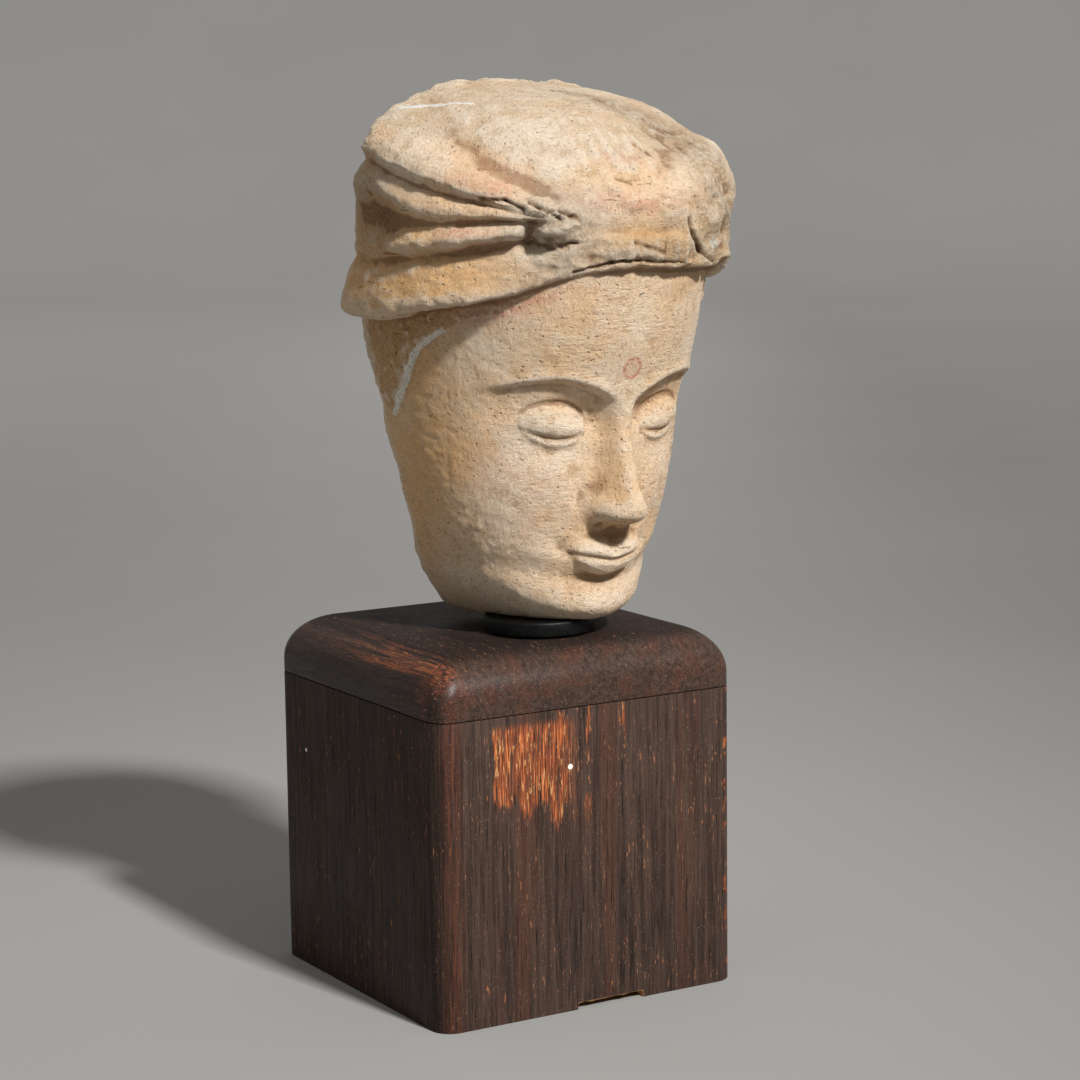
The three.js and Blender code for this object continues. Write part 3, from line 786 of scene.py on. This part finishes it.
# screen colours of the clay and of the marks on it
clayColours = {
    "pale": (252, 229, 201), "warm": (242, 205, 164), "light": (248, 229, 205),
    "brown": (206, 166, 122), "ochre": (240, 187, 122), "pink": (222, 152, 132),
    # the hollow colour below is painted shade in the hollows, and the ridge colour a painted highlight on
    # the ridges
    "crown": (200, 184, 162), "hair": (146, 119, 89), "torn": (206, 175, 132), "hollow": (150, 104, 66),
    "ridge": (252, 237, 216), "sandDark": (164, 124, 88), "stroke": (168, 130, 94),
    # the crack colour below is painted shade in the cracks
    "sandLight": (255, 243, 224), "grit": (146, 112, 80), "crack": (96, 68, 44),
    "ring": (206, 118, 100), "scratch": (255, 252, 246), "plaster": (248, 240, 224),
    "hairEdge": (255, 247, 232), "straw": (124, 88, 58), "pits": (138, 100, 66),
}


def makeClay():
    clay = Finish("terracotta", 0.9, 0.18)
    c = paints(clayColours)
    at = clay.place()
    own = clay.stored("own", "Vector")
    broad = clay.noise(at, 34, 4, 0.6)
    middle = clay.noise(at, 170, 6, 0.66)
    sand = clay.noise(at, 950, 6, 0.78)
    grit = clay.noise(at, 3000, 3, 0.7)
    # tool strokes in two directions, each strong in its own patches
    strokeA = clay.noise(clay.place((1, 1, 0.16), (0.5, 0.25, 0.3)), 1000, 4, 0.7)
    strokeB = clay.noise(clay.place((0.16, 0.5, 1), (0.2, 0.5, -0.7)), 1100, 4, 0.7)
    which = clay.between(clay.noise(at, 60, 3), 0.42, 0.58)
    strokes = strokeA * which + strokeB * (1 - which)
    buff = clay.mix(clay.between(broad, 0.36, 0.64), c["pale"], c["warm"])
    buff = clay.layers(buff, c, [(middle, 0.5, 0.68, 0.5, "light"), (middle, 0.47, 0.34, 0.55, "brown")])
    ochre = clay.stored("ochre") * clay.between(middle, 0.3, 0.62, 0.5, 1)
    buff = clay.mix(ochre * 0.85, buff, c["ochre"])
    pink = clay.stored("pink") * clay.between(clay.noise(at, 330, 4, 0.7), 0.4, 0.58)
    buff = clay.mix(pink * 0.8, buff, c["pink"])
    # crown: greyer, rubbed
    crown = clay.stored("crown") * clay.between(strokes, 0.42, 0.6, 0.5, 1)
    buff = clay.mix(crown * 0.55, buff, c["crown"])
    hair = clay.stored("hair") * clay.between(sand, 0.3, 0.56, 1, 0.45)
    buff = clay.mix(hair * 0.85, buff, c["hair"])
    torn = clay.stored("torn") * clay.between(sand, 0.42, 0.58)
    buff = clay.mix(torn * 0.4, buff, c["torn"])
    # painted shade: darker in the hollows, less where the clay is broken
    hollow = clay.between(clay.stored("hollow"), 0.16, 0.8)
    buff = clay.mix(hollow * (0.62 - clay.stored("broken") * 0.4), buff, c["hollow"])
    # painted highlight on the ridges, then sand, strokes and grit
    buff = clay.layers(buff, c, [
        (clay.stored("ridge"), 0.12, 0.7, 0.5, "ridge"), (sand, 0.47, 0.31, 0.5, "sandDark"),
        (strokes, 0.44, 0.3, 0.42, "stroke"), (sand, 0.56, 0.7, 0.5, "sandLight"),
        (grit, 0.64, 0.76, 0.3, "grit")])
    # painted shade: the cracks are darkened with the crack colour
    crack = clay.stored("crack") * clay.between(sand, 0.34, 0.56, 0.5, 1)
    buff = clay.mix(crack * 0.8, buff, c["crack"])
    # urna: a faint painted ring between the brows
    flatOwn = clay.node("ShaderNodeVectorMath", {"operation": "MULTIPLY"}, {0: own, 1: (1, 0, 1)})
    reach = clay.measure("DISTANCE", flatOwn, marks["ring"])
    front = clay.between(clay.part(own, "Y"), -38, -41)
    near, far, soft = marks["ringNear"], marks["ringFar"], marks["ringEdge"]
    ring = clay.between(reach, near - soft, near) * front * clay.between(reach, far, far - soft)
    inner = clay.between(reach, 2.2, 1.2) * front * 0.35
    buff = clay.mix((ring + inner) * clay.between(sand, 0.34, 0.56) * 0.75, buff, c["ring"])
    # white scratch on the crown, plaster at the crack, pale ridge along the edge of the hair
    line = clay.node("ShaderNodeMapping", {"vector_type": "TEXTURE"},
                     {"Vector": own, "Location": marks["scratch"], "Rotation": marks["scratchTurn"]})
    run, apart, up = clay.part(line, "X"), clay.part(line, "Y"), clay.part(own, "Z")
    sway = apart + (middle - 0.5) * 5.0 + clay.between(run, 0, 22, 0, 1.2)
    half = clay.between(run, 5, 14, 1.4, 0.7)
    scratch = clay.between(sway + half, 0, 0.4) * clay.between(half - sway, 0, 0.4)
    end = marks["scratchLength"]
    scratch = scratch * clay.between(run, -1, 1) * clay.between(run, end, end - 3)
    scratch = scratch * clay.between(up, 118, 122)
    buff = clay.mix(scratch * clay.between(grit, 0.3, 0.5), buff, c["scratch"])
    plaster = clay.between(clay.stored("plaster") + (sand - 0.5) * 0.8, 0.35, 0.6)
    edge = clay.stored("away") + (clay.noise(at, 420, 3, 0.6) - 0.5) * 1.6
    edge = clay.between(edge, -1.2, -0.5) * clay.between(edge, 1.4, 0.7) * clay.between(sand, 0.28, 0.44)
    buff = clay.mix(plaster * 0.85, buff, c["plaster"])
    buff = clay.mix(edge * 0.95, buff, c["hairEdge"])
    # straw marks and pits
    pits = clay.between(clay.cells(at, 520), 0.0, 0.24, 1, 0) * clay.between(broad, 0.4, 0.55)
    strawA = clay.noise(clay.place((1, 0.1, 1), (0.3, 0.2, 0.9)), 1300, 2, 0.5)
    strawB = clay.noise(clay.place((0.1, 1, 1), (0.9, 0.5, -0.6)), 1200, 2, 0.5)
    straw = clay.between(strawA, 0.71, 0.75) + clay.between(strawB, 0.71, 0.755)
    buff = clay.mix(straw * 0.6, buff, c["straw"])
    buff = clay.mix(pits * 0.2, buff, c["pits"])
    height = (middle * 0.45 + sand * 0.4 + strokes * 0.35 - pits * 0.4 - straw * 0.45
              + torn * sand * 0.6 + hair * sand * 0.7 + scratch * 0.1 + edge * 0.15)
    rough = clay.between(broad, 0.2, 0.8, 0.82, 0.95)
    return clay.finish(buff, rough, [(height, 0.0034, 0.85), (grit, 0.0006, 0.6)])


mountPlan = {
    "footRadius": 0.0145, "foot": 0.0042, "pegRadius": 0.004, "edge": 0.0008,
    "fit": 0.0003, "recessDepth": 0.03, "boreDepth": 0.034, "boreMiddle": 0.0145,
    "black": (5, 5, 5), "worn": (11, 10, 10),
}


def middleOf(box):
    return (box[0][0] + box[1][0]) / 2, (box[0][1] + box[1][1]) / 2


def seatForMount(piece):
    # the underside is let in for the foot of the mount, with a bore for its peg
    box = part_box("mount_post")
    m = mountPlan
    footTop = box[0][2] + m["foot"]
    recess = (m["footRadius"], m["recessDepth"], footTop + m["fit"] - m["recessDepth"] / 2, 64)
    bore = (m["pegRadius"], m["boreDepth"], footTop + m["boreMiddle"], 40)
    for radius, depth, height, sides in (recess, bore):
        clearSelection()
        bpy.ops.mesh.primitive_cylinder_add(vertices=sides, radius=radius + m["fit"], depth=depth,
                                            location=(*middleOf(box), height))
        cutWith(piece, bpy.context.active_object)


headPiece = makeHead()
seatForMount(headPiece)
choose(headPiece)
smoothUnder(50)
cover(headPiece, makeClay())
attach(headPiece, "root")
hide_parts("head")
print("head done:", len(headPiece.data.polygons), "faces")


def makeMount():
    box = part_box("mount_post")
    x, y = middleOf(box)
    z = box[0][2]
    m = mountPlan
    clearSelection()
    bpy.ops.mesh.primitive_cylinder_add(vertices=72, radius=m["footRadius"], depth=m["foot"],
                                        location=(x, y, z + m["foot"] / 2))
    piece = takeNew("blackMount")
    settle(piece)
    setMode("EDIT")
    top = z + m["foot"]
    selectTop(piece)
    bpy.ops.mesh.inset(thickness=m["footRadius"] - m["pegRadius"])
    bpy.ops.mesh.extrude_region_move(TRANSFORM_OT_translate={"value": (0, 0, box[1][2] - top)})
    selectEdges(piece, lambda a, b: abs(a.z - b.z) < 1e-5 and (
        min((a.xy - Vector((x, y))).length, (b.xy - Vector((x, y))).length) > m["footRadius"] * 0.98
        or min(a.z, b.z) > box[1][2] - 1e-4) and (a - b).length < 0.003)
    bpy.ops.mesh.bevel(offset=m["edge"], segments=4, affect="EDGES")
    setMode("OBJECT")
    smoothUnder(35)
    coat = Finish("blackPaint", 0.5, 0.2)
    at = coat.place()
    cloud = coat.noise(at, 420, 4, 0.6)
    tone = coat.mix(coat.between(cloud, 0.4, 0.7), paint(*m["black"]), paint(*m["worn"]))
    rough = coat.between(cloud, 0.3, 0.7, 0.36, 0.6)
    cover(piece, coat.finish(tone, rough, [(cloud, 0.0002, 0.4)]))
    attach(piece, "root")
    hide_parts("mount_post")


makeMount()
print("mount done")

plinth = {
    "half": 0.045, "corner": 0.0055, "round": 0.012, "roundSteps": 14,
    "notchLeft": -0.0045, "notchRight": 0.0155, "notchHeight": 0.0016, "notchDepth": 0.005,
    "tornEdge": 0.0004, "eased": 0.0003, "smooth": 40,
    # white chips, each with its place and size
    "blockChips": [((-0.0062, -0.045, 0.0648), 0.0008), ((-0.045, 0.0285, 0.0604), 0.0006)],
    "capChip": ((-0.0445, 0.03, 0.0895), 0.0006),
    # scale that stretches the grain along the piece, and the finish of its stain
    "capGrain": (1, 0.035, 1), "blockGrain": (1, 1, 0.03),
    "capPolish": {"low": 0.28, "high": 0.38, "bump": 0.45, "specular": 0.18},
    "blockPolish": {"low": 0.44, "high": 0.58, "bump": 0.7, "specular": 0.12},
}


def squarePiece(name, low, high):
    # square prism with rounded upright corners, left in edit mode
    p = plinth
    clearSelection()
    bpy.ops.mesh.primitive_cube_add(size=1, location=(0, 0, (low + high) / 2),
                                    scale=(p["half"] * 2, p["half"] * 2, high - low))
    piece = takeNew(name)
    settle(piece)
    setMode("EDIT")
    selectEdges(piece, lambda a, b: abs(a.x - b.x) < 1e-5 and abs(a.y - b.y) < 1e-5)
    bpy.ops.mesh.bevel(offset=p["corner"], segments=10, affect="EDGES")
    return piece


def makeCap():
    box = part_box("plinth_cap")
    low, high = box[0][2], box[1][2]
    p = plinth
    shoulder = high - p["round"]
    piece = squarePiece("plinthCap", low, shoulder)
    selectTop(piece)
    lastScale, lastUp = 1.0, 0.0
    for k in range(1, p["roundSteps"] + 1):
        turn = math.pi / 2 * k / p["roundSteps"]
        inset = p["round"] * (1 - math.cos(turn))
        up = p["round"] * math.sin(turn)
        scale = (p["half"] - inset) / p["half"]
        bpy.ops.mesh.extrude_region_move(TRANSFORM_OT_translate={"value": (0, 0, up - lastUp)})
        bpy.ops.transform.resize(value=(scale / lastScale, scale / lastScale, 1),
                                 center_override=(0, 0, shoulder + up))
        lastScale, lastUp = scale, up
    setMode("OBJECT")
    smoothUnder(p["smooth"])
    return piece


def makeBlock():
    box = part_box("plinth_block")
    p = plinth
    piece = squarePiece("plinthBlock", box[0][2], box[1][2])
    setMode("OBJECT")
    # loss in the foot of the front face, with a torn upper edge
    left, right = p["notchLeft"], p["notchRight"]
    clearSelection()
    bpy.ops.mesh.primitive_cube_add(size=1, location=((left + right) / 2, -p["half"], 0),
                                    scale=(right - left, p["notchDepth"] * 2, p["notchHeight"] * 2))
    cutter = bpy.context.active_object
    settle(cutter)
    setMode("EDIT")
    bpy.ops.mesh.select_all(action="SELECT")
    bpy.ops.mesh.subdivide(number_cuts=9)
    setMode("OBJECT")
    rng = np.random.default_rng(5)
    for v in cutter.data.vertices:
        if v.co.z > p["notchHeight"] - 1e-5:
            v.co.z += (rng.random() - 0.3) * p["tornEdge"]
    cutWith(piece, cutter)
    bevel = piece.modifiers.new("eased", "BEVEL")
    bevel.width = p["eased"]
    bevel.segments = 2
    bevel.limit_method = "ANGLE"
    bevel.angle_limit = math.radians(60)
    applyAll(piece)
    smoothUnder(p["smooth"])
    return piece


# screen colours of the stained wood and of its wear, with painted shade for its flat top and left faces
woodColours = {
    "dark": (50, 38, 33), "brown": (72, 56, 48), "band": (82, 49, 38), "fibre": (94, 74, 63),
    "deep": (30, 21, 18), "top": (24, 17, 14), "left": (20, 11, 8), "corner": (108, 56, 38),
    "patchDeep": (112, 58, 36), "patch": (198, 110, 60), "patchPale": (212, 162, 106),
    "fleck": (170, 112, 74), "dot": (150, 134, 118), "pore": (17, 12, 10), "bareDeep": (150, 104, 62),
    "barePale": (196, 152, 104), "chip": (238, 233, 224),
}


def makeWood(name, along, wear, polish):
    # dark stained open-pored wood
    wood = Finish(name, 0.42, polish["specular"])
    c = paints(woodColours)
    line = wood.place(along)
    at = wood.place()
    fibre = wood.noise(line, 3000, 4, 0.62)
    stripe = wood.noise(line, 760, 5, 0.6)
    wide = wood.noise(line, 170, 3, 0.5)
    pore = wood.noise(wood.place(along, (0, 0, 0), (0.31, 0.17, 0.23)), 3300, 2, 0.5)
    short = wood.noise(wood.place([v ** 0.55 for v in along], (0, 0, 0), (0.7, 0.4, 0.2)), 2500, 2, 0.5)
    cloud = wood.noise(at, 60, 4, 0.6)
    tone = wood.mix(wood.between(stripe, 0.35, 0.65), c["dark"], c["brown"])
    tone = wood.layers(tone, c, [
        (wide, 0.48, 0.64, 0.42, "band"), (fibre, 0.52, 0.74, 0.5, "fibre"),
        (fibre, 0.46, 0.32, 0.55, "deep")])
    # painted shade: the flat top of the cap is darker
    shadedTop = wood.between(wood.part(at, "Z"), 0.0925, 0.0955)
    tone = wood.mix(shadedTop * 0.75, tone, c["top"])
    # painted shade: the left faces of the cap and block are darker
    shadedLeftFace = wood.between(wood.part(at, "X"), -0.036, -0.0445)
    tone = wood.mix(shadedLeftFace * 0.4, tone, c["left"])
    patch, corner, bare, chip = wear(wood, at, stripe)
    tone = wood.mix(corner * wood.between(fibre, 0.4, 0.62), tone, c["corner"])
    tone = wood.mix(patch * wood.between(fibre, 0.36, 0.5), tone, c["patchDeep"])
    tone = wood.mix(patch * wood.between(fibre, 0.5, 0.62), tone, c["patch"])
    tone = wood.mix(patch * wood.between(short, 0.58, 0.68, 0, 0.7), tone, c["patchPale"])
    fleck = wood.between(short, 0.67, 0.71) * wood.between(stripe + cloud, 0.96, 1.06)
    tone = wood.mix(fleck * 0.8, tone, c["fleck"])
    dot = wood.between(wood.noise(at, 3100, 1, 0.5), 0.7, 0.74)
    tone = wood.mix(dot * 0.45, tone, c["dot"])
    pores = wood.between(pore, 0.62, 0.68)
    tone = wood.mix(pores * 0.65, tone, c["pore"])
    tone = wood.mix(bare, tone, wood.mix(fibre, c["bareDeep"], c["barePale"]))
    tone = wood.mix(chip, tone, c["chip"])
    rough = wood.between(cloud, 0.3, 0.7, polish["low"], polish["high"]) + shadedTop * 0.3
    rough = rough + pores * 0.25 + patch * 0.12 + (fibre - 0.5) * 0.25
    height = fibre * 0.4 - pores * 0.8 + stripe * 0.2 + dot * 0.2 + short * 0.15
    return wood.finish(tone, rough, [(height, 0.0002, polish["bump"])])


def spot(wood, at, place, size):
    return wood.between(wood.measure("DISTANCE", at, place), size, size * 0.7)


def blockWear(wood, at, stripe):
    # rubbed patch high on the front, upright corner rubbed red, bare wood in the loss at the foot
    apart, inY, upZ = wood.part(at, "X"), wood.part(at, "Y"), wood.part(at, "Z")
    p = plinth
    front = wood.between(inY, -p["half"] + 0.0001, -p["half"] + 0.0005, 1, 0)
    ragged = wood.noise(wood.place((1, 1, 0.2)), 420, 4, 0.65)
    sway = apart + (ragged - 0.5) * 0.004
    span = wood.between(sway, -0.0294, -0.0284) * wood.between(sway, -0.0125, -0.002, 1, 0)
    low = upZ + apart * 0.3 + (ragged - 0.5) * 0.02
    height = wood.between(low, 0.0475, 0.0515) * wood.between(upZ, 0.0785, 0.0755)
    gaps = wood.between(wood.noise(wood.place((1, 1, 0.05)), 900, 3, 0.6), 0.28, 0.42)
    patch = front * span * height * wood.between(ragged, 0.34, 0.5, 0.3, 1) * gaps
    rows = 0
    for place, wide, bottom in ((-0.0085, 0.0024, 0.034), (-0.001, 0.0016, 0.043), (0.0095, 0.0014, 0.058)):
        off = apart - place
        row = wood.between(off, -wide, -wide * 0.3) * wood.between(off, wide, wide * 0.3)
        rows = row * wood.between(upZ, bottom, bottom + 0.014) * wood.between(ragged, 0.52, 0.62) + rows
    chipped = wood.between(apart, 0.0405, 0.0425) * wood.between(wood.noise(at, 300, 4, 0.65), 0.56, 0.62)
    patch = patch + rows * front * 0.8 + chipped * wood.between(inY, -0.0385, -0.0395)
    corner = wood.between(apart, -0.0415, -0.0365, 0.55, 0) * wood.between(inY, -0.0452, -0.0425, 1, 0)
    left, right, top = p["notchLeft"], p["notchRight"], p["notchHeight"]
    inner = -p["half"] + p["notchDepth"]
    bare = (wood.between(upZ, top + 0.0005, top + 0.0001) * front
            * wood.between(apart, left - 0.0003, left + 0.0001)
            * wood.between(apart, right + 0.0003, right - 0.0001))
    inside = (wood.between(inY, inner + 0.0005, inner + 0.0002)
              * wood.between(inY, -p["half"] + 0.00005, -p["half"] + 0.0001)
              * wood.between(upZ, top + 0.0007, top + 0.0004)
              * wood.between(apart, left - 0.0007, left - 0.0003)
              * wood.between(apart, right + 0.0007, right + 0.0003) * wood.between(upZ, 0.00005, 0.0002))
    chips = sum(spot(wood, at, place, size) for place, size in p["blockChips"])
    return patch, corner, bare * 0.6 + inside, chips


def capWear(wood, at, stripe):
    # rubbed along the left round and the near corner, red flecks along the front
    apart, inY, upZ = wood.part(at, "X"), wood.part(at, "Y"), wood.part(at, "Z")
    ragged = wood.noise(at, 150, 4, 0.6)
    edge = (wood.between(apart, -0.036, -0.040) * wood.between(upZ, 0.0885, 0.092)
            * wood.between(inY, 0.02, -0.015) * wood.between(stripe, 0.4, 0.56))
    near = wood.between(apart + inY, -0.0755, -0.0835) * wood.between(ragged, 0.4, 0.56)
    flecks = wood.between(wood.noise(at, 520, 3, 0.6), 0.62, 0.7) * wood.between(inY, -0.037, -0.041)
    return edge * 0.4, edge * 0.6 + near * 0.7 + flecks * 0.45, 0.0, spot(wood, at, *plinth["capChip"])


capPiece = makeCap()
capWood = makeWood("capWood", plinth["capGrain"], capWear, plinth["capPolish"])
blockPiece = makeBlock()
blockWood = makeWood("blockWood", plinth["blockGrain"], blockWear, plinth["blockPolish"])
for piece, wood, node in ((capPiece, capWood, "plinth_cap"), (blockPiece, blockWood, "plinth_block")):
    cover(piece, wood)
    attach(piece, "root")
    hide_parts(node)
print("plinth done:", len(capPiece.data.polygons), len(blockPiece.data.polygons), "faces")
